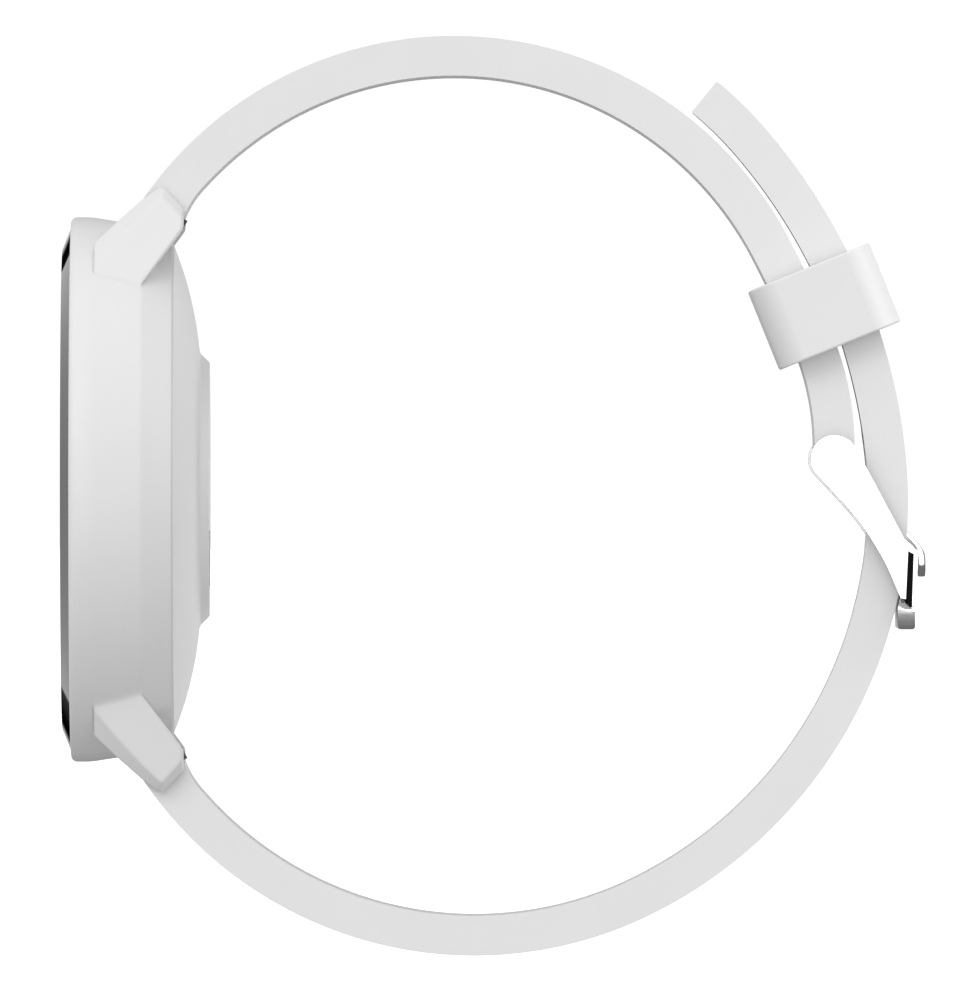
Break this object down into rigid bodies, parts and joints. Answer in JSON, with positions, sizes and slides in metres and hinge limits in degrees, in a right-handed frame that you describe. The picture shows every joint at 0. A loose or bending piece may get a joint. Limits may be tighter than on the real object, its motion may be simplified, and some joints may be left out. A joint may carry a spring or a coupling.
{
  "type": "golf gps watch",
  "caption": "Round golf watch with a slim case and a proud cover lens, on a strap that closes in a loop through a keeper and a pin buckle.",
  "frame": {"origin": "centre of the flat boss on the case back", "axes": "+X out of the case back towards the wrist, +Z to 12 o'clock along the longest extent, +Y to the side with the buttons"},
  "size_m": [0.0695, 0.0438, 0.0738],
  "materials": {
    "case_polymer": "fine matte white polymer",
    "seal_rubber": "soft black rubber",
    "glue": "dark adhesive foam",
    "steel": "plain stainless steel",
    "black_plastic": "moulded black plastic",
    "gold": "gold plate",
    "flex_film": "copper-coloured flexible film",
    "lens": "hard-coated, glossy and black at the rim",
    "display": "lit colour display",
    "frame_plastic": "glass-filled dark plastic",
    "circuit_board": "green solder mask",
    "battery_foil": "laminated foil",
    "lead_red": "insulated lead",
    "silicone": "matte white silicone",
    "polished_steel": "polished stainless steel"
  },
  "bodies": {
    "case": {"main_case": "case_polymer", "back_cover": "case_polymer", "back_gasket": "seal_rubber", "back_screws": "steel", "screw_plugs": "case_polymer", "contact_block": "black_plastic", "charge_pins": "gold", "charge_flex": "flex_film", "cover_lens": "lens", "lens_gasket": "glue", "display_panel": "display", "display_backplate": "steel", "display_flex": "flex_film", "inner_frame": "frame_plastic", "frame_screws": "steel", "main_board": "circuit_board", "board_chips": "black_plastic", "shield_can": "steel", "side_switches": "black_plastic", "gnss_antenna": "flex_film", "battery": "battery_foil", "battery_pad": "seal_rubber", "battery_lead": "lead_red", "vibration_motor": "steel", "upper_button_spring": "steel", "lower_button_spring": "steel"},
    "upper_button": {"upper_button": "case_polymer", "upper_button_seal": "seal_rubber", "upper_button_clip": "steel"},
    "lower_button": {"lower_button": "case_polymer", "lower_button_seal": "seal_rubber", "lower_button_clip": "steel"},
    "upper_strap": {"strap_buckle_half": "silicone", "upper_bar_tube": "steel", "upper_bar_tip": "steel", "upper_release_spring": "steel"},
    "lower_strap": {"strap_hole_half": "silicone", "lower_bar_tube": "steel", "lower_bar_tip": "steel", "lower_release_spring": "steel"},
    "upper_release": {"upper_release_pin": "steel"},
    "lower_release": {"lower_release_pin": "steel"},
    "keeper": {"strap_keeper": "silicone"},
    "buckle": {"buckle_frame": "polished_steel", "buckle_bar": "polished_steel"},
    "tongue": {"buckle_tongue": "polished_steel"}
  },
  "joints": [
    {"name": "upper_strap_swing", "type": "hinge", "parent": "case", "child": "upper_strap", "pos_m": [-0.0041, 0, 0.0222], "axis": [0, -1, 0], "range_deg": [0, 60], "deforming": ["strap_buckle_half", "strap_hole_half"]},
    {"name": "lower_strap_swing", "type": "hinge", "parent": "case", "child": "lower_strap", "pos_m": [-0.0041, 0, -0.0222], "axis": [0, 1, 0], "range_deg": [0, 60], "deforming": ["strap_buckle_half", "strap_hole_half"]},
    {"name": "keeper_slide", "type": "hinge", "parent": "upper_strap", "child": "keeper", "pos_m": [0.01973, 0, 0.00271], "axis": [0, -1, 0], "range_deg": [-5, 16]},
    {"name": "buckle_swing", "type": "hinge", "parent": "upper_strap", "child": "buckle", "pos_m": [0.05014, 0, 0.00244], "axis": [0, -1, 0], "range_deg": [0, 6]},
    {"name": "tongue_lift", "type": "hinge", "parent": "buckle", "child": "tongue", "pos_m": [0.05014, 0, 0.00244], "axis": [0, -1, 0], "range_deg": [0, 6]},
    {"name": "upper_release_slide", "type": "slide", "parent": "upper_strap", "child": "upper_release", "axis": [0, 1, 0], "range_m": [0, 0.0015], "stiffness_N_per_m": 400, "springref_m": -0.001, "deforming": ["upper_release_spring"]},
    {"name": "lower_release_slide", "type": "slide", "parent": "lower_strap", "child": "lower_release", "axis": [0, 1, 0], "range_m": [0, 0.0015], "stiffness_N_per_m": 400, "springref_m": -0.001, "deforming": ["lower_release_spring"]},
    {"name": "upper_button_press", "type": "slide", "parent": "case", "child": "upper_button", "axis": [0, -0.8829, -0.4695], "range_m": [0, 0.0007], "stiffness_N_per_m": 1500, "springref_m": -0.0004, "deforming": ["upper_button_spring"]},
    {"name": "lower_button_press", "type": "slide", "parent": "case", "child": "lower_button", "axis": [0, -0.8829, 0.4695], "range_m": [0, 0.0007], "stiffness_N_per_m": 1500, "springref_m": -0.0004, "deforming": ["lower_button_spring"]}
  ]
}
